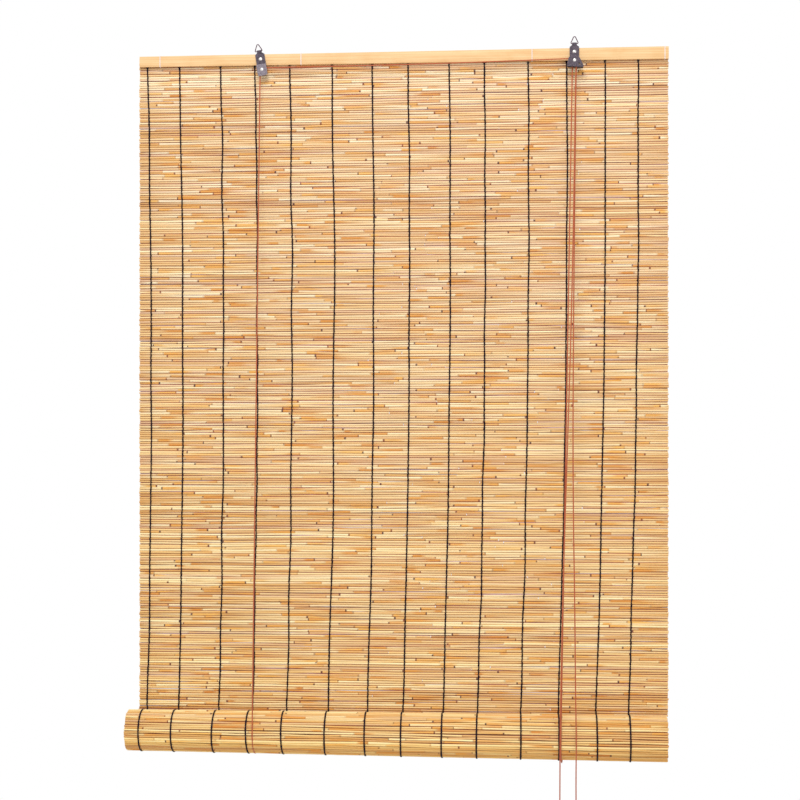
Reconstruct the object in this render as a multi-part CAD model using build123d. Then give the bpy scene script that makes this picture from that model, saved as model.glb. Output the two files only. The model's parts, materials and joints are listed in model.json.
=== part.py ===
from build123d import *
import math
import os

# A roll-up reed blind, half raised. Lengths are in millimetres, angles in degrees.
# X runs to the blind's right, Y from its front to its back, and Z up.
# The origin is where the left hook touches the inside of the left ring.

os.makedirs("parts", exist_ok=True)

# Battens: the mat's top edge is clamped between a front and a rear one
blind_left = -183.0
blind_width = 804.0
batten_bottom = -30.2
batten_height_left = 15.8
batten_height_right = 18.4
batten_thick = 4.5
batten_crown = 0.5
batten_seat = 0.1
node_swell = 0.35
node_half_length = 5.0
first_node = 81.0
node_spacing = 217.0
node_count = 4

# Reed mat: one woven wall of thin reeds
reed_pitch = 3.5
reed_crest = 1.75
reed_valley = 0.9
mat_rows = 284
clamped_rows = 4
thread_room = 0.9
row_gap = 0.8
gap_length = 24.0
gap_rows = 4
gap_row_step = 62
gap_stagger = 17
cut_depth = 4 * reed_crest

# Roll: the rest of the mat, wound in front of its foot
roll_left = -195.0
roll_length = 810.0
roll_radius_left = 29.9
roll_radius_right = 35.0
roll_core_radius = 12.0
turn_pitch = 4.9
roll_split = 0.3

# Warp threads: how far along the blind each leaves the battens, as a share of its width,
# and how they gather to the left on their way down
thread_shares = (
    0.013682, 0.075498, 0.154602, 0.220398, 0.287313, 0.368408, 0.444403,
    0.512687, 0.590174, 0.656468, 0.738557, 0.810448, 0.882214, 0.943905,
)
thread_gather = 0.0000195
thread_width = 1.9
thread_thick = 0.7
thread_gap = 0.05
knot_width = 2.8
knot_height = 2.6
band_sides = 18
band_sweep = 315.0

# Batten ties
tie_shares = (0.039677, 0.310075, 0.746020, 0.993035)
tie_width = 1.2
tie_thick = 0.4
tie_gap = 0.05
tie_slot_room = 0.15

# Hanger straps: a steel strip folded over the ring, both leaves riveted to the battens
sheet = 0.8
leaf_gap = 0.1
strap_width = 14.2
neck_width = 7.2
neck_length = 2.4
shoulder_drop = 2.6
fold_length = 4.0
strap_corner = 3.5
strap_past_axle = 5.4
left_eye = (2.36, -9.44)
left_tilt = 9.5
left_axle_drop = 29.3
right_eye = (480.3, -5.8)
right_tilt = 0.0
right_axle_drop = 26.8
rivet_drop = 12.1

# Rings
wire_radius = 0.7
eye_clearance = 0.15
ring_half_base = 5.95
ring_peak = 12.9
ring_base_corner = 1.2
ring_peak_corner = 1.8
left_ring_shift = -0.77
right_ring_shift = 0.2

# Strap rivets
rivet_radius = 1.5
rivet_hole_room = 0.1
rivet_head_radius = 2.7
rivet_head_height = 1.1
rear_head_radius = 4.2
rear_head_thick = 0.9
drill_past = 2.0

# Pulleys, their axles and housings
cord_radius = 1.0
cord_turn_radius = 3.0
groove_width = 2.6
flange_width = 0.6
flange_radius = 4.4
axle_radius = 1.1
axle_running_gap = 0.08
axle_head_radius = 2.4
axle_head_height = 0.9
pulley_side_gap = 0.3
housing_wall = 0.9
housing_seat = 0.1
left_housing_width = 14.8
left_housing_above = 8.0
left_housing_below = 9.4
left_housing_corner = 3.0
cord_hole_radius = 1.9
inlet_reach = 20.0

# Bell of the right housing, as distances from its axle
bell_top_left = (-8.6, 4.6)
bell_crest = (-1.8, 6.9)
bell_top_right = (7.7, 3.6)
bell_low_right = (14.4, -10.6)
bell_low_left = (-11.7, -8.9)
bell_corner = 1.4

# Cord lock: a knurled roller whose pins ride in slanted slots of the bell
roller_radius = 2.2
roller_pin_radius = 0.9
roller_rest = (7.8, -6.8)
roller_slant = 30.0
roller_travel = 2.6
roller_slot_room = 0.1
knurl_count = 12
knurl_depth = 0.2

# Cords
widest_corner = 0.45
loop_room = 0.15
cord_end_gap = 0.05
tail_knot_radius = 3.2
tail_knot_height = 8.0
tail_knot_neck = 0.55
tail_knot_waist = 0.35

# What follows from those sizes
leaf_outer = sheet + leaf_gap / 2
batten_front = leaf_outer + batten_seat
batten_back = batten_front + batten_thick
mat_y = batten_back + thread_room + reed_crest
rear_batten_front = mat_y + reed_crest + thread_room
rear_batten_back = rear_batten_front + batten_thick
tie_z = batten_bottom - tie_gap - tie_thick / 2
mat_top = tie_z + clamped_rows * reed_pitch
crown_z = mat_top - mat_rows * reed_pitch
mid_radius = (roll_radius_left + roll_radius_right) / 2
path_radius = mid_radius + turn_pitch / 2 - reed_crest
roll_y = mat_y - path_radius
roll_z = crown_z - mid_radius + turn_pitch / 4
eye_outer = wire_radius + eye_clearance + sheet
left_pulley_y = -leaf_outer - pulley_side_gap
left_cord_y = left_pulley_y - flange_width - groove_width / 2
left_front_y = left_pulley_y - 2 * flange_width - groove_width - pulley_side_gap
bell_back_y = -leaf_outer - housing_seat
right_pulley_y = bell_back_y - housing_wall - pulley_side_gap
rear_groove_y = right_pulley_y - flange_width - groove_width / 2
front_groove_y = rear_groove_y - flange_width - groove_width
right_front_y = right_pulley_y - 3 * flange_width - 2 * groove_width - pulley_side_gap


# Shapes that several pieces share

def side_face(points, x):
    """Flat face across the blind at x, from (y, z) points."""
    return make_face(Polyline([(x, y, z) for y, z in points], close=True))


def side_solid(points, x, width):
    """Bar of the (y, z) outline that runs along X."""
    return extrude(side_face(points, x), amount=width, dir=(1, 0, 0))


def rod(start, end, radius):
    """Round bar between two points."""
    line = Line(start, end)
    return extrude(Plane(origin=start, z_dir=line % 0) * Circle(radius), amount=line.length)


def along_y(x, z, radius, y_from, y_to):
    """Round bar along Y."""
    return rod((x, y_from, z), (x, y_to, z), radius)


def dome(x, z, y, radius, height):
    """Low round rivet head that stands forward from y."""
    ball_radius = (radius**2 + height**2) / (2 * height)
    ball = Pos(x, y - height + ball_radius, z) * Sphere(ball_radius)
    return ball & along_y(x, z, radius, y - height, y)


def along_blind(share):
    return blind_left + share * blind_width


def save(shape, name):
    export_step(shape, f"parts/{name}.step")


class Hanger:
    """The eye of a strap, and places told as distances beside and above it in the leaning strap."""

    def __init__(self, eye, tilt, axle_drop, ring_shift):
        self.eye = eye
        self.tilt = tilt
        self.ring_shift = ring_shift
        self.axle_drop = axle_drop
        self.rivet = self.place(0, -rivet_drop)
        self.axle = self.place(0, -axle_drop)

    def place(self, beside, above):
        turn = math.radians(self.tilt)
        x = self.eye[0] + beside * math.cos(turn) - above * math.sin(turn)
        z = self.eye[1] + beside * math.sin(turn) + above * math.cos(turn)
        return (x, z)

    def set_in(self, shape):
        """Moves a shape made upright about the world's origin into the strap's lean."""
        return Pos(self.eye[0], 0, self.eye[1]) * Rot(0, -self.tilt, 0) * shape


left = Hanger(left_eye, left_tilt, left_axle_drop, left_ring_shift)
right = Hanger(right_eye, right_tilt, right_axle_drop, right_ring_shift)


# Battens

def batten_top(x):
    share = (x - blind_left) / blind_width
    return batten_bottom + batten_height_left + (batten_height_right - batten_height_left) * share


def batten_section(x, flat_y, face_y, swell):
    """Section at x: flat towards the mat, gently rounded on the outside."""
    outward = 1 if face_y > flat_y else -1
    edge_y = face_y - outward * batten_crown
    top = batten_top(x)
    middle = (top + batten_bottom) / 2
    outline = Polyline((x, edge_y, batten_bottom), (x, flat_y, batten_bottom), (x, flat_y, top), (x, edge_y, top))
    face_arc = ThreePointArc(
        (x, edge_y, top), (x, face_y + outward * swell, middle), (x, edge_y, batten_bottom)
    )
    return make_face([*outline.edges(), face_arc.edge()])


def batten(flat_y, face_y):
    stations = [(blind_left, 0.0)]
    for number in range(node_count):
        middle = blind_left + first_node + number * node_spacing
        stations += [(middle - node_half_length, 0.0), (middle, node_swell), (middle + node_half_length, 0.0)]
    stations.append((blind_left + blind_width, 0.0))
    body = loft([batten_section(x, flat_y, face_y, swell) for x, swell in stations], ruled=True)
    for hanger in (left, right):
        x, z = hanger.rivet
        start, end = batten_front - drill_past, rear_batten_back + drill_past
        body -= along_y(x, z, rivet_radius + rivet_hole_room, start, end)
    return body


# Reed mat

def mat_profile():
    """Ridged wall: each reed is a ridge on both faces."""
    depths = [(reed_valley if step % 2 == 0 else reed_crest) for step in range(2 * mat_rows + 1)]
    levels = [mat_top - step * reed_pitch / 2 for step in range(2 * mat_rows + 1)]
    front = [(mat_y - depth, z) for depth, z in zip(depths, levels)]
    back = [(mat_y + depth, z) for depth, z in zip(depths, levels)]
    return front + back[::-1]


def thread_x(share, z):
    """Where the thread that leaves the battens at that share of the width is at height z."""
    start = along_blind(share)
    return start - thread_gather * (start - along_blind(thread_shares[0])) * (mat_top - z)


def mat_gaps():
    """Slits between reeds, midway between two threads and staggered from field to field."""
    slits = []
    for field, (here, after) in enumerate(zip(thread_shares, thread_shares[1:])):
        for number in range(gap_rows):
            row = 2 * clamped_rows + number * gap_row_step + (field * gap_stagger) % gap_row_step
            z = mat_top - row * reed_pitch
            x = (thread_x(here, z) + thread_x(after, z)) / 2
            slits.append(Pos(x, mat_y, z) * Box(gap_length, cut_depth, row_gap))
    return slits


def reed_mat():
    mat = side_solid(mat_profile(), blind_left, blind_width)
    tie_slot = Box(tie_width + 2 * tie_slot_room, cut_depth, tie_thick + 2 * tie_slot_room)
    cuts = mat_gaps() + [Pos(along_blind(share), mat_y, tie_z) * tie_slot for share in tie_shares]
    for hanger in (left, right):
        x, z = hanger.rivet
        cuts.append(along_y(x, z, rivet_radius + rivet_hole_room, batten_back, rear_batten_front))
    return mat - cuts


# Roll

def roll_stations(step):
    """Points down the mat's foot and round the spiral, a step apart, each with its outward direction."""
    stations = []
    z = crown_z - roll_split
    while z > roll_z + step / 2:
        stations.append((mat_y, z, 1.0, 0.0))
        z -= step
    angle = 0.0
    radius = path_radius
    while radius > roll_core_radius:
        across, down = math.cos(angle), -math.sin(angle)
        stations.append((roll_y + radius * across, roll_z + radius * down, across, down))
        angle += step / radius
        radius = path_radius - turn_pitch * angle / (2 * math.pi)
    return stations


def scaled(points, x):
    """The roll's section at x: it tapers towards the line where its crown meets the mat."""
    here = roll_radius_left + (roll_radius_right - roll_radius_left) * (x - roll_left) / roll_length
    scale = here / mid_radius
    return [(mat_y + scale * (y - mat_y), crown_z + scale * (z - crown_z)) for y, z in points]


def roll_profile():
    outside, inside = [], []
    for number, (y, z, across, down) in enumerate(roll_stations(reed_pitch / 2)):
        depth = reed_valley if number % 2 == 0 else reed_crest
        outside.append((y + depth * across, z + depth * down))
        inside.append((y - depth * across, z - depth * down))
    return outside + inside[::-1]


def reed_roll():
    profile = roll_profile()
    ends = [side_face(scaled(profile, x), x) for x in (roll_left, roll_left + roll_length)]
    return loft(ends, ruled=True)


# Warp threads

def warp_thread(share):
    """One thread: down the front, over the mat's clamped edge and down the back, with its knot."""
    inner = reed_crest + thread_gap
    outer = inner + thread_thick
    length = mat_top - crown_z
    over = thread_thick + thread_gap
    outline = [(-outer, over), (outer, over), (outer, -length), (inner, -length)]
    outline += [(inner, thread_gap), (-inner, thread_gap), (-inner, -length), (-outer, -length)]
    strand = side_solid(outline, -thread_width / 2, thread_width)
    knot_top = batten_bottom - thread_gap - mat_top
    knot = Pos(0, -outer, knot_top - knot_height / 2) * Box(knot_width, 2 * thread_thick, knot_height)
    x = along_blind(share)
    lean = math.degrees(math.asin((x - thread_x(share, crown_z)) / length))
    return Pos(x, mat_y, mat_top) * Rot(0, lean, 0) * (strand + knot)


def roll_thread(share):
    """The same thread on the roll: down the mat's foot, under the roll and over its crown."""
    x = thread_x(share, crown_z)
    half_step = math.radians(band_sweep / band_sides / 2)
    start = (mat_y + reed_crest + thread_gap, crown_z - roll_split)
    under = [start]
    upper = [(start[0] + thread_thick, start[1])]
    for side in range(band_sides + 1):
        angle = 2 * half_step * side
        radius = path_radius - turn_pitch * angle / (2 * math.pi) + reed_crest
        near = (radius + 2 * thread_gap) / math.cos(half_step)
        across, down = math.cos(angle), -math.sin(angle)
        under.append((roll_y + near * across, roll_z + near * down))
        upper.append((roll_y + (near + thread_thick) * across, roll_z + (near + thread_thick) * down))
    return side_solid(scaled(upper + under[::-1], x), x - thread_width / 2, thread_width)


# Ties

def batten_tie(x):
    top = batten_top(x) + tie_gap
    near, far = batten_front - tie_gap, rear_batten_back + tie_gap
    low = batten_bottom - tie_gap
    outer = [
        (near - tie_thick, low - tie_thick), (far + tie_thick, low - tie_thick),
        (far + tie_thick, top + tie_thick), (near - tie_thick, top + tie_thick),
    ]
    inner = [(near, low), (far, low), (far, top), (near, top)]
    start = x - tie_width / 2
    return side_solid(outer, start, tie_width) - side_solid(inner, start, tie_width)


# Hanger straps, rings and rivets

def strap(hanger):
    """Strip folded round the ring's wire, cut to a neck, shoulders and a rounded foot."""
    inner = wire_radius + eye_clearance
    foot = -hanger.axle_drop - strap_past_axle
    half = strap_width / 2
    outer_side = [(-eye_outer, 0), (-leaf_outer, -fold_length), (-leaf_outer, foot)]
    outer_side += [(leaf_outer, foot), (leaf_outer, -fold_length), (eye_outer, 0)]
    inner_side = [(-inner, 0), (-leaf_gap / 2, -fold_length), (-leaf_gap / 2, foot)]
    inner_side += [(leaf_gap / 2, foot), (leaf_gap / 2, -fold_length), (inner, 0)]
    strip = side_solid(outer_side, -half, strap_width) + rod((-half, 0, 0), (half, 0, 0), eye_outer)
    strip -= side_solid(inner_side, -half, strap_width)
    strip -= rod((-half, 0, 0), (half, 0, 0), inner)
    neck = neck_width / 2
    shoulder = -neck_length - shoulder_drop
    outline = [(-neck, eye_outer), (neck, eye_outer), (neck, -neck_length), (half, shoulder)]
    outline += [(half, foot), (-half, foot), (-half, shoulder), (-neck, -neck_length)]
    face = make_face(Polyline([(x, 0, z) for x, z in outline], close=True))
    blank = extrude(face, amount=2 * eye_outer, dir=(0, 1, 0), both=True)
    feet = blank.edges().filter_by(Axis.Y).sort_by(Axis.Z)[:2]
    blank = fillet(feet, strap_corner)
    holes = [
        along_y(0, -rivet_drop, rivet_radius + rivet_hole_room, -eye_outer, eye_outer),
        along_y(0, -hanger.axle_drop, axle_radius, -eye_outer, eye_outer),
    ]
    return hanger.set_in((strip & blank) - holes)


def ring(hanger):
    corners = [(ring_half_base, 0, 0), (0, 0, ring_peak), (-ring_half_base, 0, 0)]
    path = FilletPolyline(
        *corners, radius=[ring_base_corner, ring_peak_corner, ring_base_corner], close=True
    )
    section = Plane(origin=path @ 0, z_dir=path % 0) * Circle(wire_radius)
    return hanger.set_in(Pos(hanger.ring_shift, 0, 0) * sweep(section, path=path))


def strap_rivet(hanger):
    """Rivet through strap, battens and mat; its long tail carries the lift cord's loop."""
    x, z = hanger.rivet
    tail = rear_batten_back + 2 * (cord_radius + loop_room)
    shank = along_y(x, z, rivet_radius, -leaf_outer, tail)
    head = dome(x, z, -leaf_outer, rivet_head_radius, rivet_head_height)
    return shank + head + along_y(x, z, rear_head_radius, tail, tail + rear_head_thick)


# Pulleys

def pulley(hanger, rear_y, grooves):
    """Turned pulley that lies along Y, its rear flange at rear_y."""
    bore = axle_radius + axle_running_gap
    width = (grooves + 1) * flange_width + grooves * groove_width
    half_section = Pos((bore + flange_radius) / 2, width / 2) * Rectangle(flange_radius - bore, width)
    for number in range(grooves):
        middle = flange_width + groove_width / 2 + number * (flange_width + groove_width)
        half_section -= Pos(cord_turn_radius, middle) * Circle(groove_width / 2)
        mouth = Rectangle(flange_radius, groove_width)
        half_section -= Pos(cord_turn_radius + flange_radius / 2, middle) * mouth
    wheel = revolve(Plane.XZ * half_section, Axis.Z)
    x, z = hanger.axle
    return Pos(x, rear_y, z) * Rot(90, 0, 0) * wheel


def pulley_axle(hanger, front_y):
    x, z = hanger.axle
    face = front_y - housing_wall
    shank = along_y(x, z, axle_radius, face, leaf_outer)
    return shank + dome(x, z, face, axle_head_radius, axle_head_height)


# Housings

def housing_left():
    """Small pressed cover over the left pulley, open below and towards the strap."""
    half = left_housing_width / 2
    outer_face = Pos(0, (left_housing_above - left_housing_below) / 2) * Rectangle(
        left_housing_width, left_housing_above + left_housing_below
    )
    lower = outer_face.vertices().sort_by(Axis.Y)[:2]
    outline = Plane.XZ * fillet(lower, left_housing_corner)
    inner_width = left_housing_width - 2 * housing_wall
    inner_height = left_housing_above - housing_wall + 2 * left_housing_below
    cavity_face = Plane.XZ * (
        Pos(0, left_housing_above - housing_wall - inner_height / 2) * Rectangle(inner_width, inner_height)
    )
    rear = -leaf_outer - housing_seat
    box = Pos(0, rear, 0) * extrude(outline, amount=rear - left_front_y + housing_wall)
    cavity = Pos(0, rear, 0) * extrude(cavity_face, amount=rear - left_front_y)
    upright = Pos(0, 0, -left.axle_drop) * (box - cavity)
    shell = left.set_in(upright)
    x, z = left.axle
    cord_level = z + cord_turn_radius
    outlet = rod((x, left_cord_y, cord_level), (x + 2 * half, left_cord_y, cord_level), cord_hole_radius)
    return shell - [outlet, along_y(x, z, axle_radius, left_front_y - 2 * housing_wall, 0)]


def bell_face(points, inset):
    """Bell outline moved in from its edge by inset; the inner one runs out through the bottom."""
    (left_x, left_z), (crest_x, crest_z), (right_x, right_z), low_right, low_left = points
    drop = 2 * inset
    corners = [(left_x + inset, left_z - inset), (low_left[0] + inset, low_left[1] - drop)]
    corners += [(low_right[0] - inset, low_right[1] - drop), (right_x - inset, right_z - inset)]
    sides = Polyline(corners)
    top = ThreePointArc(
        (right_x - inset, right_z - inset), (crest_x, crest_z - inset), (left_x + inset, left_z - inset)
    )
    return make_face([*sides.edges(), top.edge()])


def roller_place(travel):
    """Centre of the roller, from the right axle, once it has slid up its slots by travel."""
    turn = math.radians(roller_slant)
    return (roller_rest[0] - travel * math.sin(turn), roller_rest[1] + travel * math.cos(turn))


def housing_right():
    """Flared housing of the double pulley and the cord lock, open below."""
    points = (bell_top_left, bell_crest, bell_top_right, bell_low_right, bell_low_left)
    outer_face = bell_face(points, 0)
    lower = outer_face.vertices().sort_by(Axis.Y)[:2]
    outline = Plane.XZ * fillet(lower, bell_corner)
    depth = bell_back_y - right_front_y
    box = Pos(0, bell_back_y, 0) * extrude(outline, amount=depth + housing_wall)
    cavity_face = Plane.XZ * bell_face(points, housing_wall)
    cavity = Pos(0, bell_back_y - housing_wall, 0) * extrude(cavity_face, amount=depth - housing_wall)
    slot_radius = roller_pin_radius + roller_slot_room
    low, high = roller_place(0), roller_place(roller_travel)
    slot = Plane.XZ * SlotCenterToCenter(roller_travel, 2 * slot_radius, rotation=90 + roller_slant)
    slot = extrude(slot, amount=2 * depth, both=True)
    slot = Pos((low[0] + high[0]) / 2, 0, (low[1] + high[1]) / 2) * slot
    start = (-inlet_reach, front_groove_y, cord_turn_radius)
    inlet = rod(start, (0, front_groove_y, cord_turn_radius), cord_hole_radius)
    axle_hole = along_y(0, 0, axle_radius, right_front_y - 2 * housing_wall, 0)
    x, z = right.axle
    return Pos(x, 0, z) * (box - [cavity, slot, inlet, axle_hole])


def lock_roller():
    """Knurled roller with a pin at each end."""
    x, z = roller_place(0)
    inner_back = bell_back_y - housing_wall - pulley_side_gap
    inner_front = right_front_y + pulley_side_gap
    length = inner_back - inner_front
    body = along_y(x, z, roller_radius, inner_front, inner_back)
    for number in range(knurl_count):
        angle = 2 * math.pi * number / knurl_count
        groove_x = x + roller_radius * math.cos(angle)
        groove_z = z + roller_radius * math.sin(angle)
        groove = Pos(groove_x, inner_back - length / 2, groove_z) * Rot(0, 45 - math.degrees(angle), 0)
        body -= groove * Box(knurl_depth * 2, length, knurl_depth * 2)
    pin = along_y(x, z, roller_pin_radius, right_front_y - housing_wall, bell_back_y)
    x0, z0 = right.axle
    return Pos(x0, 0, z0) * (body + pin)


# Cords. Points chosen along each route; a corner takes the radius of what the cord goes round,
# or else an arc that uses up widest_corner of the shorter of its two runs.

left_cord_route = [
    ((4.4, 16.6, -25.3), None),
    ((1.7, 11.0, -1054.8), 33.5),
    ((1.3, -9.3, -1074.4), 33.5),
    ((0.8, -37.6, -1073.6), 33.5),
    ((0.4, -56.8, -1052.8), 33.5),
    ((4.2, -3.0, -35.3), 3.0),
    ((240.0, -5.0, -34.6), None),
    ((483.3, -7.2, -29.6), 3.0),
    ((481.6, -9.0, -72.0), None),
    ((479.0, -18.6, -244.0), None),
    ((475.0, -29.1, -423.0), None),
    ((469.2, -40.0, -602.0), None),
    ((462.6, -51.6, -800.0), None),
    ((458.2, -62.7, -985.0), None),
    ((457.4, -65.8, -1060.0), None),
    ((457.0, -66.1, -1150.0), None),
    ((457.2, -66.0, -1240.0), None),
]

right_cord_route = [
    ((480.3, 16.6, -21.7), None),
    ((462.6, 12.3, -1059.3), 37.7),
    ((461.8, -10.7, -1081.5), 37.7),
    ((460.4, -42.5, -1080.5), 37.7),
    ((459.0, -64.1, -1056.9), 37.7),
    ((477.3, -4.0, -29.6), 2.95),
    ((483.3, -4.0, -29.6), 2.95),
    ((482.3, -6.0, -76.0), None),
    ((480.4, -15.1, -235.0), None),
    ((478.3, -26.3, -420.0), None),
    ((477.0, -36.9, -600.0), None),
    ((477.5, -44.1, -720.0), None),
    ((479.4, -51.6, -850.0), None),
    ((480.1, -58.6, -965.0), None),
    ((481.3, -62.7, -1045.0), None),
    ((480.6, -62.9, -1105.0), None),
    ((481.2, -63.3, -1175.0), None),
    ((481.6, -63.2, -1240.0), None),
]


def corner_radii(route):
    points = [Vector(point) for point, _ in route]
    radii = []
    for number in range(1, len(points) - 1):
        before = points[number] - points[number - 1]
        after = points[number + 1] - points[number]
        half_turn = math.radians(before.get_angle(after)) / 2
        widest = widest_corner * min(before.length, after.length) / math.tan(half_turn)
        radii.append(route[number][1] or widest)
    return radii


def lift_cord(route, name):
    radii = corner_radii(route)
    path = FilletPolyline(*[point for point, _ in route], radius=radii)
    section = Plane(origin=path @ 0, z_dir=path % 0) * Circle(cord_radius)
    cord = sweep(section, path=path)
    expected = math.pi * cord_radius**2 * path.length
    print(f"{name}: length {path.length:.0f} mm, volume {cord.volume:.0f} of {expected:.0f} mm3")
    print(f"{name} radii:", ", ".join(f"{radius:.0f}" for radius in radii))
    return cord


def cord_loop(hanger):
    """Loop of the cord's end round the strap rivet's tail."""
    x, z = hanger.rivet
    middle = rear_batten_back + loop_room + cord_radius
    loop = Torus(rivet_radius + loop_room + cord_radius, cord_radius)
    return Pos(x, middle, z) * Rot(90, 0, 0) * loop


def tail_knot(route):
    """Stopper knot on the end of a cord's tail."""
    x, y, z = route[-1][0]
    half = tail_knot_height / 2
    neck = tail_knot_radius * tail_knot_neck
    waist = half * tail_knot_waist
    profile = [(0, half), (neck, half), (tail_knot_radius, waist)]
    profile += [(tail_knot_radius, -waist), (neck, -half), (0, -half)]
    face = make_face(Polyline([(r, 0, level) for r, level in profile], close=True))
    return Pos(x, y, z - cord_end_gap - half) * revolve(face, Axis.Z)


# Every piece under its name

save(batten(batten_back, batten_front), "front_batten")
save(batten(rear_batten_front, rear_batten_back), "rear_batten")
save(reed_mat(), "reed_mat")
save(reed_roll(), "reed_roll")
for number, share in enumerate(thread_shares, start=1):
    save(warp_thread(share), f"warp_thread_{number:02d}")
    save(roll_thread(share), f"roll_thread_{number:02d}")
for number, share in enumerate(tie_shares, start=1):
    save(batten_tie(along_blind(share)), f"batten_tie_{number}")
for hanger, side in ((left, "left"), (right, "right")):
    save(strap(hanger), f"hanger_strap_{side}")
    save(ring(hanger), f"hanger_ring_{side}")
    save(strap_rivet(hanger), f"strap_rivet_{side}")
    save(cord_loop(hanger), f"cord_loop_{side}")
save(pulley(left, left_pulley_y, 1), "pulley_left")
save(pulley(right, right_pulley_y, 2), "pulley_right")
save(pulley_axle(left, left_front_y), "pulley_axle_left")
save(pulley_axle(right, right_front_y), "pulley_axle_right")
save(housing_left(), "pulley_housing_left")
save(housing_right(), "lock_housing_right")
save(lock_roller(), "lock_roller")
for route, side in ((left_cord_route, "left"), (right_cord_route, "right")):
    save(lift_cord(route, f"lift_cord_{side}"), f"lift_cord_{side}")
    save(tail_knot(route), f"tail_knot_{side}")
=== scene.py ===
import json
import math
import random

import bpy
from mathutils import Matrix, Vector


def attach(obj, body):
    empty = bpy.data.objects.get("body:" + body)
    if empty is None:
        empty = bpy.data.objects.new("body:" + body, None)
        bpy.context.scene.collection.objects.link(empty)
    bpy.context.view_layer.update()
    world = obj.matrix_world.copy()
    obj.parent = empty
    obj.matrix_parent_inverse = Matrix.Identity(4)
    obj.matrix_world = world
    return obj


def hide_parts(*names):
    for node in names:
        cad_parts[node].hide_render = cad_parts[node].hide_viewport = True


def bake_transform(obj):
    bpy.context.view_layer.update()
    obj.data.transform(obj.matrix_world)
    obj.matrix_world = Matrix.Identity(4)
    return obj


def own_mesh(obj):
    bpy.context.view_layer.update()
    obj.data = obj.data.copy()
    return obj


# A roll-up reed blind, partly raised. Lengths are in metres, in the CAD model's frame:
# X to the blind's right, Y from its front to its back, Z up, with the origin in the left ring.

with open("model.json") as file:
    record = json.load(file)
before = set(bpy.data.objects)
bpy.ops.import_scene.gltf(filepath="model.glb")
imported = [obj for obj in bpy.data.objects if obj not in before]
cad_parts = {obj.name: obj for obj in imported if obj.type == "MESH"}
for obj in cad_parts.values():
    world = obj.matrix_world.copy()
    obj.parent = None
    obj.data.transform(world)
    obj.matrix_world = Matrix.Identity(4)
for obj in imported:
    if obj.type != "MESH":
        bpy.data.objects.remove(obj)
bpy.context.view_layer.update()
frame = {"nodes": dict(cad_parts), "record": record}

MM = 0.001

# Reed mat
BLIND_LEFT = -184.2 * MM
BLIND_RIGHT = 620.8 * MM
MAT_Y = 8.1 * MM
MAT_TOP = -16.45 * MM
ROWS = 284
PITCH = 3.5 * MM
CROWN_Z = MAT_TOP - ROWS * PITCH
MAT_DEPTH = 1.75 * MM
BATTEN_BOTTOM = -30.2 * MM

# Single reeds; a pair is the least and the most
MAT_WAVE = 2.4 * MM
WAVER = 0.55 * MM
WAVE_LENGTH = (0.09, 0.45)
REED_RADII = (1.36 * MM, 1.84 * MM)
CORE_REED_RADII_MM = (1.55, 1.8)
REED_LENGTH = (0.35, 1.1)
SHORTEST_REED = 0.12
RAGGED_ENDS_MM = 0.7
ROW_SHIFT_MM = 0.14
ROW_DEPTH_MM = 0.15
CORE_RAGGED_MM = 1.2
CORE_SIDES = 7
REED_END_GAP = (0.0002, 0.0012)
LONGEST_STRETCH = 0.05
FIRST_NODE = (0.02, 0.15)
NODE_STEP = (0.07, 0.24)
LAST_NODE = 0.012
NODE_HALF_MM = (0.7, 1.35)
NODE_SWELL_MM = (0.04, 0.2)
STAIN_LENGTH = (0.012, 0.06)
PALE_LENGTH = (0.006, 0.03)
SHARE_ROOT_RIGHT = 0.55
SHARE_FAINT_NODES = 0.3

# The thin dark reed that fills a gap between two rows, as painted shade in place of the shadow there
GAP_SINK = 0.35 * MM
GAP_HALF_HEIGHT = 0.6 * MM
GAP_HALF_DEPTH = 0.75 * MM
GAP_STEPS = 12
GAP_SIDES = 6
GAP_INSET = 1 * MM

# Roll
ROLL_LEFT = -194.0 * MM
ROLL_RIGHT = 615.5 * MM
ROLL_RADIUS_LEFT = 31.0 * MM
ROLL_RADIUS_RIGHT = 34.3 * MM
ROLL_CORE_RADIUS = 11.0 * MM
TURN_PITCH = 4.9 * MM
ROLL_TILT = 0.6 * MM
ROLL_WOVEN_SWEEP = 2.2 * math.pi
ROLL_LOOSE = 1.8
MID_RADIUS = (ROLL_RADIUS_LEFT + ROLL_RADIUS_RIGHT) / 2
PATH_RADIUS = MID_RADIUS + TURN_PITCH / 2 - MAT_DEPTH
ROLL_Y = MAT_Y - PATH_RADIUS
ROLL_Z = CROWN_Z - MID_RADIUS + TURN_PITCH / 4

# Warp threads: how far along the blind each leaves the battens
THREAD_SHARES = (
    0.0152, 0.0769, 0.1559, 0.2216, 0.2884, 0.3694, 0.4453,
    0.5135, 0.5909, 0.6571, 0.7391, 0.8109, 0.8826, 0.9442,
)
THREAD_GATHER = 0.0194
THREAD_HALF_WIDTH = 1.2 * MM
THREAD_HALF_THICK = 0.36 * MM
THREAD_LIFT = 0.08 * MM
THREAD_FATNESS = (0.8, 1.15)
THREAD_WANDER = 0.9 * MM
THREAD_LEAN_MM = 0.25
THREAD_CROSSING = 0.4 * MM
THREAD_SIDES = 5
BOW_LEFT = 6.0 * MM
BOW_RIGHT = 4.8 * MM

# Their knots under the batten
KNOT_HALF_WIDTH = 1.8 * MM
KNOT_HALF_DEPTH = 1.0 * MM
KNOT_HALF_HEIGHT = 1.7 * MM
KNOT_OUT = 0.5 * MM
KNOT_DROP = 1.2 * MM
KNOT_SIDES = 10
KNOT_RINGS = 7

# Their way round the roll, as an angle from its back
ROLL_THREAD_START = -0.02
ROLL_THREAD_SWEEP = 1.86 * math.pi
ROLL_THREAD_STEPS = 122
ROLL_THREAD_SIDES = 6
ROLL_THREAD_LIFT = 0.1 * MM
ROLL_THREAD_CREST = 0.16 * MM
ROLL_THREAD_WANDER = 1.0 * MM
ROLL_THREAD_LEAN_MM = 0.15
ROLL_THREAD_FOOT_STEPS = 8

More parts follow.
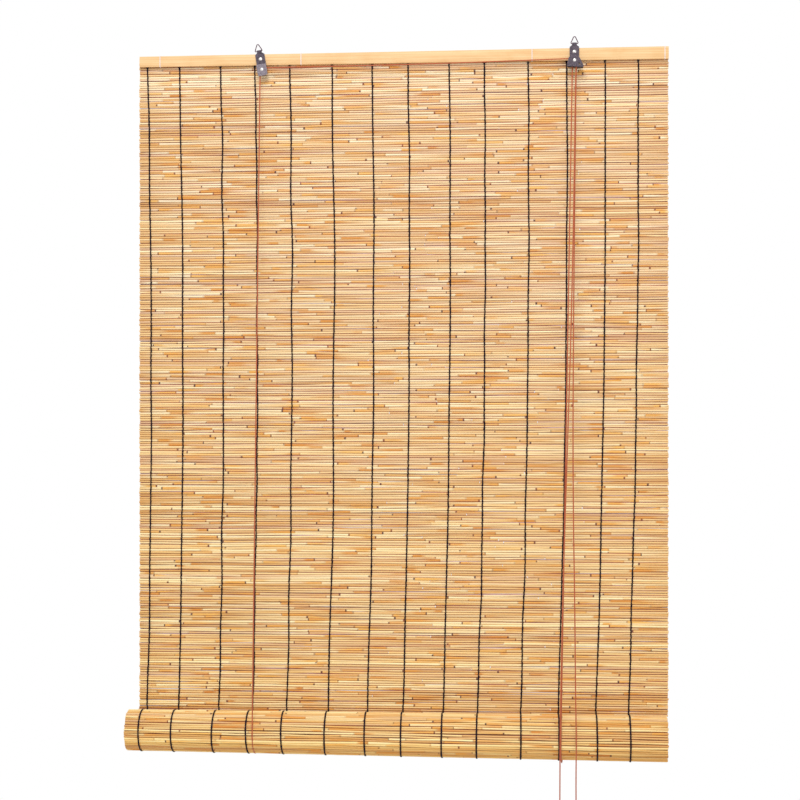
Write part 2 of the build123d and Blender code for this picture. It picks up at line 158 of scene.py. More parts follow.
# Lift cords: their braid, where each leaves its pulleys, and where the tail begins
CORD_RADIUS = 0.9 * MM
CORD_SIDES = 10
BRAID_LENGTH = 3.6 * MM
PULLEY_SIDE = {"left": -47.3 * MM, "right": -44.6 * MM}
TAIL_TOP = -1060 * MM

# Fine relief of the surfaces, and how far in from an edge the painted highlight reaches
FIBRE_RELIEF = 0.2 * MM
COAT_RELIEF = 0.1 * MM
EDGE_HIGHLIGHT_REACH = 0.35 * MM
NOISE_LOW = 0.3
NOISE_HIGH = 0.7

# Stage, light and camera
FLOOR_MIDDLE_X = 0.2
FLOOR_HALF = 1.8
FLOOR_Z = -1.6
SOFT_LIGHT = 0.55
CAMERA_PLACE = (0.4036, -2.5348, -0.5912)
CAMERA_TURN = 4.2
CAMERA_LENS = 75.51
CAMERA_SENSOR = 36
CAMERA_SHIFT = 0.04125


def linear(red, green, blue):
    """Linear colour of an sRGB one told in 0 to 255."""
    values = []
    for part in (red, green, blue):
        share = part / 255
        values.append(share / 12.92 if share <= 0.04045 else ((share + 0.055) / 1.055) ** 2.4)
    return tuple(values)


def mixed(first, second, share):
    return tuple(a + (b - a) * share for a, b in zip(first, second))


# Materials

class Shader:
    """A material with short ways to add and join its nodes."""

    def __init__(self, name):
        self.material = bpy.data.materials.new(name)
        self.material.use_nodes = True
        self.tree = self.material.node_tree
        self.surface = self.tree.nodes["Principled BSDF"]

    def node(self, kind, **settings):
        node = self.tree.nodes.new("ShaderNode" + kind)
        for name, value in settings.items():
            setattr(node, name, value)
        return node

    def join(self, output, target):
        self.tree.links.new(output, target)

    def place(self, scale):
        """Coordinates stretched by scale."""
        coordinates = self.node("TexCoord")
        mapping = self.node("Mapping")
        mapping.inputs["Scale"].default_value = scale
        self.join(coordinates.outputs["Object"], mapping.inputs["Vector"])
        return mapping.outputs["Vector"]

    def noise(self, scale, detail=3.0, roughness=0.55):
        noise = self.node("TexNoise")
        noise.inputs["Scale"].default_value = 1.0
        noise.inputs["Detail"].default_value = detail
        noise.inputs["Roughness"].default_value = roughness
        self.join(self.place(scale), noise.inputs["Vector"])
        return noise.outputs["Fac"]

    def ramp(self, value, *stops):
        ramp = self.node("ValToRGB")
        elements = ramp.color_ramp.elements
        while len(elements) < len(stops):
            elements.new(0.5)
        for element, (position, color) in zip(elements, stops):
            element.position = position
            element.color = (*color, 1)
        self.join(value, ramp.inputs["Fac"])
        return ramp.outputs["Color"]

    def span(self, value, low, high):
        """The usual reach of a noise spread to low..high."""
        spread = self.node("MapRange")
        spread.inputs["From Min"].default_value = NOISE_LOW
        spread.inputs["From Max"].default_value = NOISE_HIGH
        spread.inputs["To Min"].default_value = low
        spread.inputs["To Max"].default_value = high
        self.join(value, spread.inputs["Value"])
        return spread.outputs["Result"]

    def blend(self, kind, share, first, second):
        mix = self.node("Mix", data_type="RGBA", blend_type=kind)
        for target, value in (("Factor", share), ("A", first), ("B", second)):
            socket = [s for s in mix.inputs if s.name == target and s.enabled][0]
            if isinstance(value, bpy.types.NodeSocket):
                self.join(value, socket)
            elif isinstance(value, tuple):
                socket.default_value = (*value, 1)
            else:
                socket.default_value = value
        return [s for s in mix.outputs if s.enabled][0]

    def color(self, output):
        self.join(output, self.surface.inputs["Base Color"])

    def rough(self, output):
        self.join(output, self.surface.inputs["Roughness"])

    def bump(self, output, strength, distance):
        bump = self.node("Bump")
        bump.inputs["Strength"].default_value = strength
        bump.inputs["Distance"].default_value = distance
        self.join(output, bump.inputs["Height"])
        self.join(bump.outputs["Normal"], self.surface.inputs["Normal"])

    def set(self, **values):
        for name, value in values.items():
            title = name.replace("_", " ").title().replace("Ior", "IOR")
            self.surface.inputs[title].default_value = value


def reed_material():
    """Dry peeled reed: the tint of each reed, fine fibres along it and a soft shine."""
    shader = Shader("reed")
    tint = shader.node("Attribute", attribute_name="tint").outputs["Color"]
    fibres = shader.noise((26, 1900, 1900), detail=4)
    streaks = shader.ramp(
        fibres, (0.25, (0.80, 0.72, 0.62)), (0.5, (1, 1, 1)), (0.8, (1.0, 0.99, 0.97))
    )
    color = shader.blend("MULTIPLY", 0.75, tint, streaks)
    patches = shader.noise((9, 260, 260), detail=2)
    patch_tint = shader.ramp(patches, (0.3, (0.90, 0.84, 0.78)), (0.6, (1, 1, 1)))
    shader.color(shader.blend("MULTIPLY", 0.6, color, patch_tint))
    shader.rough(shader.span(patches, 0.34, 0.52))
    shader.bump(fibres, 0.25, FIBRE_RELIEF)
    shader.set(specular_ior_level=0.5)
    return shader.material


def bamboo_material():
    """Split bamboo: long fibres, faint darker bands and a matt face."""
    shader = Shader("bamboo")
    fibres = shader.noise((7, 500, 900), detail=5)
    grain = shader.ramp(
        fibres, (0.3, linear(222, 175, 118)), (0.5, linear(235, 194, 139)), (0.72, linear(244, 207, 156))
    )
    bands = shader.noise((22, 14, 40), detail=2)
    band_tint = shader.ramp(bands, (0.35, (0.93, 0.86, 0.76)), (0.55, (1, 1, 1)))
    shader.color(shader.blend("MULTIPLY", 0.7, grain, band_tint))
    shader.rough(shader.span(fibres, 0.42, 0.6))
    shader.bump(fibres, 0.2, FIBRE_RELIEF)
    return shader.material


def thread_material(name, dark, light, twist):
    """Spun thread: dark and light flecks of fibre, drawn out along it, and no shine."""
    shader = Shader(name)
    spin = shader.noise((twist, twist, twist * 0.4), detail=3)
    shader.color(shader.ramp(spin, (0.35, dark), (0.7, light)))
    shader.rough(shader.span(spin, 0.75, 0.95))
    shader.bump(spin, 0.5, FIBRE_RELIEF)
    shader.set(specular_ior_level=0.2)
    return shader.material


def cord_material():
    """Braided cord: two families of strands that cross, from each point's place along and round it."""
    shader = Shader("lift_cord")
    place = shader.node("Attribute", attribute_name="braid").outputs["Vector"]
    parts = shader.node("SeparateXYZ")
    shader.join(place, parts.inputs["Vector"])
    lean = []
    for sign in (1, -1):
        turn = shader.node("Math", operation="MULTIPLY_ADD")
        shader.join(parts.outputs["Y"], turn.inputs[0])
        turn.inputs[1].default_value = 4 * sign
        shader.join(parts.outputs["X"], turn.inputs[2])
        wave = shader.node("Math", operation="SINE")
        shader.join(turn.outputs["Value"], wave.inputs[0])
        lean.append(wave.outputs["Value"])
    crossing = shader.node("Math", operation="MULTIPLY")
    shader.join(lean[0], crossing.inputs[0])
    shader.join(lean[1], crossing.inputs[1])
    spread = shader.node("Math", operation="MULTIPLY_ADD")
    shader.join(crossing.outputs["Value"], spread.inputs[0])
    spread.inputs[1].default_value = 0.5
    spread.inputs[2].default_value = 0.5
    braid = spread.outputs["Value"]
    # Painted shade: the colour darkens in the braid's hollows, where its bump is low
    tone = shader.ramp(braid, (0.15, linear(138, 50, 26)), (0.75, linear(214, 112, 64)))
    fuzz = shader.noise((900, 900, 900), detail=2)
    fuzz_tint = shader.ramp(fuzz, (0.3, (0.8, 0.76, 0.74)), (0.65, (1, 1, 1)))
    shader.color(shader.blend("MULTIPLY", 0.7, tone, fuzz_tint))
    shader.rough(shader.span(fuzz, 0.6, 0.8))
    shader.bump(braid, 0.6, FIBRE_RELIEF)
    shader.set(sheen_weight=0.1)
    return shader.material


def metal_material(name, dark, light, edge, rough_low, rough_high, metallic, grain):
    """Metal with a mottled coat of two colours, and a lighter third one painted along its edges as a
    highlight.
    """
    shader = Shader(name)
    mottle = shader.noise((grain, grain, grain), detail=4, roughness=0.65)
    coat = shader.ramp(mottle, (0.35, linear(*dark)), (0.68, linear(*light)))
    # Painted highlight: near edges, where the bevelled normal turns from the plain one, the coat goes
    # toward the lighter edge colour
    bevel = shader.node("Bevel")
    bevel.inputs["Radius"].default_value = EDGE_HIGHLIGHT_REACH
    plain = shader.node("NewGeometry")
    bend = shader.node("VectorMath", operation="DOT_PRODUCT")
    shader.join(bevel.outputs["Normal"], bend.inputs[0])
    shader.join(plain.outputs["Normal"], bend.inputs[1])
    edge_highlight_share = shader.node("MapRange")
    edge_highlight_share.inputs["From Min"].default_value = 0.98
    edge_highlight_share.inputs["From Max"].default_value = 0.8
    edge_highlight_share.inputs["To Max"].default_value = 0.7
    shader.join(bend.outputs["Value"], edge_highlight_share.inputs["Value"])
    shader.color(shader.blend("MIX", edge_highlight_share.outputs["Result"], coat, linear(*edge)))
    shader.rough(shader.span(mottle, rough_low, rough_high))
    shader.bump(mottle, 0.15, COAT_RELIEF)
    shader.set(metallic=metallic)
    return shader.material


# Dark and light colour, painted highlight colour of the edges, roughness from and to, share of metal, and
# grain
METALS = {
    "dark_steel": ((58, 50, 58), (96, 86, 96), (150, 140, 145), 0.35, 0.6, 0.6, 500),
    "housing_steel": ((98, 90, 98), (142, 132, 140), (190, 180, 184), 0.35, 0.6, 0.6, 500),
    "ring_steel": ((78, 54, 64), (116, 88, 102), (140, 124, 130), 0.45, 0.65, 0.5, 700),
    "rivet_steel": ((205, 200, 196), (240, 236, 232), (250, 248, 246), 0.22, 0.4, 0.85, 600),
    "pulley_metal": ((150, 146, 142), (196, 192, 186), (225, 220, 215), 0.25, 0.45, 0.9, 500),
    "roller_brass": ((78, 66, 50), (118, 102, 78), (152, 138, 112), 0.35, 0.55, 0.8, 500),
}
WARP_DARK, WARP_LIGHT = linear(12, 4, 12), linear(40, 22, 40)
TIE_DARK, TIE_LIGHT = linear(226, 214, 210), linear(250, 240, 236)
MATERIALS = {
    "reed": reed_material(),
    "bamboo": bamboo_material(),
    "warp_thread": thread_material("warp_thread", WARP_DARK, WARP_LIGHT, 1500),
    "tie_thread": thread_material("tie_thread", TIE_DARK, TIE_LIGHT, 1500),
    "lift_cord": cord_material(),
}
for name, look in METALS.items():
    MATERIALS[name] = metal_material(name, *look)


def dress(piece, slot):
    piece.data.materials.clear()
    piece.data.materials.append(MATERIALS[slot])
    return piece


# Carried-over CAD nodes keep their shape and take the finish of their slot
for part in frame["record"]["subparts"]:
    node = frame["nodes"][part["node"]]
    node.data.materials.clear()
    node.data.materials.append(MATERIALS[part["material_slot"]])
    for polygon in node.data.polygons:
        polygon.material_index = 0


# Mesh making

class Builder:
    """Gathers rings of points, with a colour for each point or with none, into one smooth mesh."""

    def __init__(self):
        self.points = []
        self.faces = []
        self.tints = []

    def tube(self, rings, tints=(), ends=None):
        """Skins rings of equal length. A ring has one colour, or a list of one for each side.
        ends gives the end caps' colours, at the rim and in the middle."""
        first = len(self.points)
        sides = len(rings[0])
        for ring in rings:
            self.points += ring
        for tint in tints:
            self.tints += tint if isinstance(tint, list) else [tint] * sides
        for number in range(len(rings) - 1):
            here = first + number * sides
            for side in range(sides):
                after = (side + 1) % sides
                above = here + sides
                self.faces.append((here + side, here + after, above + after, above + side))
        for last, ring in ((False, rings[0]), (True, rings[-1])):
            if ends:
                rim = len(self.points)
                middle = [sum(point[axis] for point in ring) / sides for axis in range(3)]
                self.points += ring
                self.points.append(tuple(middle))
                self.tints += [ends[0]] * sides + [ends[1]]
                for side in range(sides):
                    after = (side + 1) % sides
                    triangle = (rim + side, rim + after, rim + sides)
                    self.faces.append(triangle if last else triangle[::-1])
            else:
                rim = first + (len(rings) - 1) * sides if last else first
                order = range(sides) if last else range(sides - 1, -1, -1)
                self.faces.append(tuple(rim + side for side in order))

    def piece(self, name, slot):
        mesh = bpy.data.meshes.new(name)
        mesh.from_pydata(self.points, [], self.faces)
        mesh.polygons.foreach_set("use_smooth", [True] * len(mesh.polygons))
        if self.tints:
            attribute = mesh.attributes.new("tint", "FLOAT_COLOR", "POINT")
            attribute.data.foreach_set("color", [part for tint in self.tints for part in (*tint, 1)])
        mesh.update()
        piece = bpy.data.objects.new(name, mesh)
        bpy.context.scene.collection.objects.link(piece)
        return dress(piece, slot)


# Reeds: colours of their skin, each with how often it comes up, of what marks them, and of the painted
# shade in their hollow ends and in the gaps between rows

REED_TINTS = [
    (linear(250, 222, 174), 4), (linear(240, 206, 154), 4), (linear(230, 190, 134), 4),
    (linear(222, 176, 114), 3), (linear(234, 200, 168), 3), (linear(220, 182, 152), 2),
    (linear(253, 234, 196), 3), (linear(206, 158, 100), 1),
]
PALE = linear(255, 246, 220)
SHEATH = [linear(236, 178, 90), linear(224, 158, 70), linear(242, 192, 110)]
NODE_DARK = [linear(112, 52, 30), linear(142, 76, 42), linear(84, 38, 32)]
# Painted shade: the dark middle of a reed's cut end stands for the shade inside its hollow
HOLLOW_SHADE = linear(150, 112, 76)
# Painted shade: purple-brown tints of the thin reed that fills each gap between rows
SHADE_REED_TINTS = [linear(160, 86, 92), linear(122, 58, 70), linear(190, 116, 110)]
TINT_CHOICES = [tint for tint, _ in REED_TINTS]
TINT_WEIGHTS = [weight for _, weight in REED_TINTS]

# Tones that the colours are multiplied by; a row's lies between a low and a high one
SHADE_REED_TONE = (1, 1, 1)
# The roll's painted shade between rows is darker and more orange
ROLL_SHADE_REED_TONE = (0.62, 0.36, 0.16)
MAT_TONES_HIGH = ((0.94, 0.85, 0.75), (1.05, 1.03, 0.97))
MAT_TONES_LOW = ((0.97, 0.81, 0.49), (1.06, 1.03, 0.80))
# Painted light and shade on the roll: the lit tone on its crown, the shaded one, darker and more orange,
# underneath
ROLL_TONES_LIT = ((0.98, 0.82, 0.44), (1.08, 1.06, 0.84))
ROLL_TONES_SHADED = ((0.86, 0.54, 0.14), (1.10, 0.98, 0.58))


class Wobble:
    """Smooth seeded waver along a reed."""

    def __init__(self, dice, size):
        self.waves = []
        for _ in range(3):
            height = size * dice.uniform(0.4, 1.0)
            rate = 2 * math.pi / dice.uniform(*WAVE_LENGTH)
            self.waves.append((height, rate, dice.uniform(0, 2 * math.pi)))

    def at(self, x):
        return sum(height * math.sin(rate * x + start) for height, rate, start in self.waves) / 2


def toned(tint, tone):
    return tuple(a * b for a, b in zip(tint, tone))


def either_way(dice, reach_mm):
    """Up to so many millimetres one way or the other."""
    return dice.uniform(-reach_mm, reach_mm) * MM


def reed_ring(x, place, half_height, half_depth, sides):
    """Ring round a reed's axis; place gives where the axis is and which way is out."""
    y, z, out_y, out_z = place
    ring = []
    for side in range(sides):
        angle = 2 * math.pi * side / sides
        across, out = half_height * math.cos(angle), half_depth * math.sin(angle)
        ring.append((x, y + out * out_y - across * out_z, z + out * out_z + across * out_y))
    return ring


def reed_stations(dice, start, end):
    """Places along one reed: (x, swelling, colour, colour of the dot), with the stains beside its nodes."""
    base = dice.choices(TINT_CHOICES, TINT_WEIGHTS)[0]
    root_right = dice.random() < SHARE_ROOT_RIGHT
    stations = [(start, 0.0, base, None)]
    x = start + dice.uniform(*FIRST_NODE)
    while x < end - LAST_NODE:
        dark = dice.choice(NODE_DARK)
        if dice.random() < SHARE_FAINT_NODES:
            dark = mixed(dark, base, 0.55)
        half = dice.uniform(*NODE_HALF_MM) * MM
        stain = min(dice.uniform(*STAIN_LENGTH), 0.9 * max(end - x, 0.01), 0.9 * (x - start))
        stain_tint = mixed(dice.choice(SHEATH), base, dice.uniform(0.0, 0.8))
        pale_tint = mixed(PALE, base, dice.uniform(0.2, 0.9))
        pale = min(dice.uniform(*PALE_LENGTH), 0.45 * (x - start), 0.45 * (end - x))
        sides = [(-pale, pale_tint), (-half * 1.6, pale_tint)]
        others = [(half * 1.6, stain_tint), (stain * 0.6, stain_tint), (stain, base)]
        if not root_right:
            sides, others = [[(-d, t) for d, t in marks[::-1]] for marks in (others, sides)]
        swell = dice.uniform(*NODE_SWELL_MM) * MM
        near_tint = mixed(sides[-1][1], dark, 0.25)
        marks = [(shift, tint, None) for shift, tint in sides]
        marks += [(-half * 0.5, near_tint, dark), (half * 0.5, near_tint, dark)]
        marks += [(shift, tint, None) for shift, tint in others]
        for shift, tint, dot in marks:
            if stations[-1][0] + 0.0003 < x + shift < end - 0.0004:
                near = abs(shift) < 2 * half
                stations.append((x + shift, swell if near else 0.0, tint, dot))
        x += dice.uniform(*NODE_STEP)
        base = mixed(base, dice.choices(TINT_CHOICES, TINT_WEIGHTS)[0], dice.uniform(0.0, 0.5))
    stations.append((end, 0.0, base, None))
    return stations


def add_reed(builder, dice, start, end, radius, centre, tone, sides=8, plain=False):
    """One reed from start to end; centre(x) gives where its axis is and which way is out.
    A plain one has no nodes."""
    if plain:
        base = dice.choices(TINT_CHOICES, TINT_WEIGHTS)[0]
        stations = [(start, 0.0, base, None), (end, 0.0, base, None)]
    else:
        stations = reed_stations(dice, start, end)
        filled = [stations[0]]
        for x, swell, tint, dot in stations[1:]:
            gap = x - filled[-1][0]
            if gap > LONGEST_STRETCH:
                filled.append((filled[-1][0] + gap / 2, 0.0, mixed(filled[-1][2], tint, 0.5), None))
            filled.append((x, swell, tint, dot))
        stations = filled
    taper = dice.uniform(-0.1, 0.1)
    rings, tints = [], []
    dots = range(0)
    for x, swell, tint, dot in stations:
        share = (x - start) / (end - start) - 0.5
        here = radius * (1 + taper * share) + swell
        rings.append(reed_ring(x, centre(x), here, here, sides))
        if dot is None:
            dots = range(0)
            tints.append(toned(tint, tone))
        else:
            if not dots:
                first = dice.randint(-1, sides)
                dots = range(first, first + dice.choice((2, 3, 3, sides)))
            spotted = [side % sides for side in dots]
            tints.append([toned(dot if side in spotted else tint, tone) for side in range(sides)])
    # End caps are painted darker, most in the middle, as the shade inside the hollow reed
    rim_shade_tint = mixed(stations[0][2], HOLLOW_SHADE, 0.4)
    builder.tube(rings, tints, ends=(toned(rim_shade_tint, tone), toned(HOLLOW_SHADE, tone)))


def reed_row(builder, dice, left, right, centre, tones, loose=1.0):
    """One row of the mat: reeds laid end to end, each of a colour between the two tones."""
    wobble = Wobble(dice, WAVER * loose)
    start = left + either_way(dice, RAGGED_ENDS_MM)
    finish = right + either_way(dice, RAGGED_ENDS_MM)
    while start < finish - 0.001:
        end = start + dice.uniform(*REED_LENGTH)
        if end > finish - SHORTEST_REED:
            end = finish
        radius = dice.uniform(*REED_RADII)
        shift = either_way(dice, ROW_SHIFT_MM) * loose
        depth = either_way(dice, ROW_DEPTH_MM) * loose
        tone = mixed(*tones, dice.random())

        def waver(x, shift=shift, depth=depth):
            y, z, out_y, out_z = centre(x)
            off = wobble.at(x) + shift
            return (y + depth * out_y + off * -out_z, z + depth * out_z + off * out_y, out_y, out_z)

        add_reed(builder, dice, start, end, radius, waver, tone)
        start = end + dice.uniform(*REED_END_GAP)


def shade_reed_row(builder, dice, left, right, centre, tone=SHADE_REED_TONE):
    """Dark thin reed behind the gap between two rows, as painted shade between them."""
    rings, tints = [], []
    left, right = left + GAP_INSET, right - GAP_INSET
    for step in range(GAP_STEPS + 1):
        x = left + (right - left) * step / GAP_STEPS
        y, z, out_y, out_z = centre(x)
        place = (y - GAP_SINK * out_y, z - GAP_SINK * out_z, out_y, out_z)
        rings.append(reed_ring(x, place, GAP_HALF_HEIGHT, GAP_HALF_DEPTH, GAP_SIDES))
        tints.append(toned(dice.choice(SHADE_REED_TINTS), tone))
    builder.tube(rings, tints)


def fold_up(piece):
    """The piece hangs from the blind's body, with a mesh of its own."""
    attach(piece, "blind")
    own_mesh(piece)


def roll_tilt(x):
    return ROLL_TILT * ((x - ROLL_LEFT) / (ROLL_RIGHT - ROLL_LEFT) - 0.5)


def mat_centre(z, wave):
    """A row on the flat mat: the front is out. Towards the foot the rows lean as the roll does."""
    share = (MAT_TOP - z) / (MAT_TOP - CROWN_Z)

    def centre(x):
        sway = wave.at(x + 2 * z) * share * (1 - share)
        return (MAT_Y, z + roll_tilt(x) * share**2 + sway, -1.0, 0.0)
    return centre


def reed_mat():
    dice = random.Random(11)
    builder = Builder()
    wave = Wobble(dice, MAT_WAVE)
    for row in range(ROWS):
        z = MAT_TOP - (row + 0.5) * PITCH
        share = row / ROWS
        tones = [mixed(high, low, share) for high, low in zip(MAT_TONES_HIGH, MAT_TONES_LOW)]
        reed_row(builder, dice, BLIND_LEFT, BLIND_RIGHT, mat_centre(z, wave), tones, 1 + 0.3 * share)
    for row in range(1, ROWS):
        z = MAT_TOP - row * PITCH
        shade_reed_row(builder, dice, BLIND_LEFT, BLIND_RIGHT, mat_centre(z, wave))
    piece = builder.piece("woven_reeds", "reed")
    fold_up(piece)
    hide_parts("reed_mat")


# Roll

def on_roll(x, y, z):
    """A point of the roll's middle section, carried to x."""
    share = (x - ROLL_LEFT) / (ROLL_RIGHT - ROLL_LEFT)
    scale = (ROLL_RADIUS_LEFT + (ROLL_RADIUS_RIGHT - ROLL_RADIUS_LEFT) * share) / MID_RADIUS
    return (MAT_Y + scale * (y - MAT_Y), CROWN_Z + scale * (z - CROWN_Z) + roll_tilt(x))


def roll_places():
    """Angle and radius of each reed down the mat's foot and round the spiral."""
    places = []
    angle, radius = 0.0, PATH_RADIUS
    while radius > ROLL_CORE_RADIUS:
        places.append((angle, radius))
        angle += PITCH / radius
        radius = PATH_RADIUS - TURN_PITCH * angle / (2 * math.pi)
    return places


def roll_centre(middle_y, middle_z, out_y, out_z):
    """A row through a point of the roll's middle section."""
    def centre(x):
        y, z = on_roll(x, middle_y, middle_z)
        return (y, z, out_y, out_z)
    return centre


def turn_centre(angle, radius):
    """A row on the roll's spiral."""
    out_y, out_z = math.cos(angle), -math.sin(angle)
    return roll_centre(ROLL_Y + radius * out_y, ROLL_Z + radius * out_z, out_y, out_z)


def roll_shading_tones(angle):
    """Painted light and shade: lightest on the crown, darker and more orange towards the underside; angle
    is 0 at the back and a quarter turn at the foot.
    """
    share = 0.5 - 0.5 * math.sin(angle)
    return [mixed(front, top, share) for front, top in zip(ROLL_TONES_SHADED, ROLL_TONES_LIT)]


def roll_foot(builder, dice):
    """The mat's last rows, down behind the roll's crown. They spread from the mat's ends to the roll's."""
    z = CROWN_Z - 0.5 * PITCH
    while z > ROLL_Z + 0.4 * PITCH:
        share = (CROWN_Z - z) / (CROWN_Z - ROLL_Z)
        left = BLIND_LEFT + (ROLL_LEFT - BLIND_LEFT) * share
        right = BLIND_RIGHT + (ROLL_RIGHT - BLIND_RIGHT) * share
        reed_row(builder, dice, left, right, roll_centre(MAT_Y, z, -1.0, 0.0), MAT_TONES_LOW)
        shade_reed_row(builder, dice, left, right, roll_centre(MAT_Y, z + PITCH / 2, -1.0, 0.0))
        z -= PITCH


def reed_roll():
    """The outer turn as woven rows, and plain reeds inside it, which show only at the ends."""
    dice = random.Random(23)
    builder = Builder()
    roll_foot(builder, dice)
    for angle, radius in roll_places():
        centre = turn_centre(angle, radius)
        if angle < ROLL_WOVEN_SWEEP:
            reed_row(builder, dice, ROLL_LEFT, ROLL_RIGHT, centre, roll_shading_tones(angle), ROLL_LOOSE)
            between = turn_centre(angle + PITCH / radius / 2, radius)
            shade_reed_row(builder, dice, ROLL_LEFT, ROLL_RIGHT, between, ROLL_SHADE_REED_TONE)
        else:
            left = ROLL_LEFT + either_way(dice, CORE_RAGGED_MM)
            right = ROLL_RIGHT + either_way(dice, CORE_RAGGED_MM)
            size = dice.uniform(*CORE_REED_RADII_MM) * MM
            add_reed(builder, dice, left, right, size, centre, ROLL_TONES_LIT[1], CORE_SIDES, plain=True)
    piece = builder.piece("rolled_reeds", "reed")
    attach(piece, "roll")
    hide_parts("reed_roll")


# Warp threads

def thread_x(share, z):
    """Where a thread runs at height z: they gather to the left and bow to the right on their way down."""
    first = THREAD_SHARES[0]
    down = (MAT_TOP - z) / (MAT_TOP - CROWN_Z)
    bow = BOW_LEFT + (BOW_RIGHT - BOW_LEFT) * share
    along = first + (share - first) * (1 - THREAD_GATHER * down)
    return BLIND_LEFT + (BLIND_RIGHT - BLIND_LEFT) * along + bow * 4 * down * (1 - down)


def strand_ring(x, y, z, fat=1.0):
    """Level ring of a flattened strand about a point."""
    ring = []
    for side in range(THREAD_SIDES):
        angle = 2 * math.pi * side / THREAD_SIDES
        wide = THREAD_HALF_WIDTH * fat * math.cos(angle)
        ring.append((x + wide, y + THREAD_HALF_THICK * fat * math.sin(angle), z))
    return ring


def knot_rings(x, y, z):
    """Rings of a rounded knot, from its top to its bottom."""
    rings = []
    for step in range(KNOT_RINGS):
        lift = math.pi * (step + 0.35) / (KNOT_RINGS + 0.7)
        size = math.sin(lift)
        ring = []
        for side in range(KNOT_SIDES):
            turn = 2 * math.pi * side / KNOT_SIDES
            wide = KNOT_HALF_WIDTH * size * math.cos(turn)
            deep = KNOT_HALF_DEPTH * size * math.sin(turn)
            ring.append((x + wide, y + deep, z + KNOT_HALF_HEIGHT * math.cos(lift)))
        rings.append(ring)
    return rings


def warp_thread(number, share):
    """Two strands that cross between the reeds, and the knot under the batten."""
    dice = random.Random(100 + number)
    builder = Builder()
    wander = Wobble(dice, THREAD_WANDER)
    clear = MAT_DEPTH + THREAD_HALF_THICK + THREAD_LIFT
    for strand in (0, 1):
        rings = []
        for row in range(ROWS):
            front = -1 if (row + strand) % 2 == 0 else 1
            z = MAT_TOP - (row + 0.5) * PITCH
            x = thread_x(share, z) + wander.at(z) * min(1.0, row / 20)
            lean = either_way(dice, THREAD_LEAN_MM)
            fat = dice.uniform(*THREAD_FATNESS)
            for part, reach in ((-0.42, 0.9), (0.0, 1.0), (0.42, 0.9)):
                slant = part * THREAD_CROSSING * (1 if strand else -1)
                out = MAT_Y + front * clear * reach
                rings.append(strand_ring(x + lean + slant, out, z - part * PITCH, fat))
        builder.tube(rings)
    knot_z = BATTEN_BOTTOM - KNOT_DROP
    builder.tube(knot_rings(thread_x(share, knot_z), MAT_Y - clear - KNOT_OUT, knot_z))
    piece = builder.piece(f"twined_thread_{number:02d}", "warp_thread")
    fold_up(piece)
    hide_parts(f"warp_thread_{number:02d}")


def roll_thread(number, share):
    """The thread round the roll: a strand over each reed, and one down the mat's foot behind it."""
    dice = random.Random(200 + number)
    builder = Builder()
    wander = Wobble(dice, ROLL_THREAD_WANDER)
    x = thread_x(share, CROWN_Z)
    over = MAT_DEPTH + THREAD_HALF_THICK + ROLL_THREAD_LIFT
    rings = []
    for step in range(ROLL_THREAD_STEPS):
        angle = step * ROLL_THREAD_SWEEP / ROLL_THREAD_STEPS + ROLL_THREAD_START
        radius = PATH_RADIUS - TURN_PITCH * angle / (2 * math.pi) + over
        crest = ROLL_THREAD_CREST * math.cos(2 * math.pi * angle * radius / PITCH)
        drift = wander.at(angle * radius) * min(1.0, step / 10) + either_way(dice, ROLL_THREAD_LEAN_MM)
        fat = dice.uniform(*THREAD_FATNESS)
        ring = []
        for side in range(ROLL_THREAD_SIDES):
            turn = 2 * math.pi * side / ROLL_THREAD_SIDES
            out = radius + crest + THREAD_HALF_THICK * fat * math.sin(turn)
            y, z = on_roll(x, ROLL_Y + out * math.cos(angle), ROLL_Z - out * math.sin(angle))
            ring.append((x + drift + THREAD_HALF_WIDTH * fat * math.cos(turn), y, z))
        rings.append(ring)
    builder.tube(rings)
    rings = []
    for step in range(ROLL_THREAD_FOOT_STEPS):
        y, z = on_roll(x, MAT_Y - over, CROWN_Z - step * PITCH / 2)
        rings.append(strand_ring(x, y, z))
    builder.tube(rings)
    piece = builder.piece(f"roll_thread_strand_{number:02d}", "warp_thread")
    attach(piece, "roll")
    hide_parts(f"roll_thread_{number:02d}")


# Lift cords. The routes follow the CAD model's, in millimetres, with one more point about 12 mm from
# each pulley and one at each side of the roll, so that the spline keeps straight between its bends.

LEFT_CORD_ROUTE = (
    (4.4, 16.6, -25.3), (1.76, 11.1, -1032.0), (1.7, 11.0, -1054.8), (1.3, -9.3, -1074.4),
    (0.8, -37.6, -1073.6), (0.4, -56.8, -1052.8), (0.5, -55.3, -1024.8), (4.16, -3.6, -47.3),
    (4.2, -3.0, -35.3), (16.2, -3.1, -35.2), (240.0, -5.0, -34.6), (471.3, -7.1, -29.9),
    (483.3, -7.2, -29.6), (482.8, -7.7, -41.6), (481.6, -9.0, -72.0),
    (479.0, -18.6, -244.0), (475.0, -29.1, -423.0), (469.2, -40.0, -602.0), (462.6, -51.6, -800.0),
    (458.2, -62.7, -985.0), (457.4, -65.8, -1060.0), (457.0, -66.1, -1150.0), (457.2, -66.0, -1240.0),
)
RIGHT_CORD_ROUTE = (
    (480.3, 16.6, -21.7), (463.0, 12.4, -1033.0), (462.6, 12.3, -1059.3), (461.8, -10.7, -1081.5),
    (460.0, -42.5, -1080.5), (458.4, -64.0, -1056.9), (459.0, -62.1, -1025.0), (477.1, -4.7, -41.6),
    (477.3, -4.0, -29.6), (483.3, -4.0, -29.6), (483.1, -4.5, -41.6), (482.3, -6.0, -76.0),
    (480.4, -15.1, -235.0), (478.3, -26.3, -420.0), (477.0, -36.9, -600.0), (477.5, -44.1, -720.0),
    (479.4, -51.6, -850.0), (480.1, -58.6, -965.0), (481.3, -62.7, -1045.0), (480.6, -62.9, -1105.0),
    (481.2, -63.3, -1175.0), (481.6, -63.2, -1240.0),
)


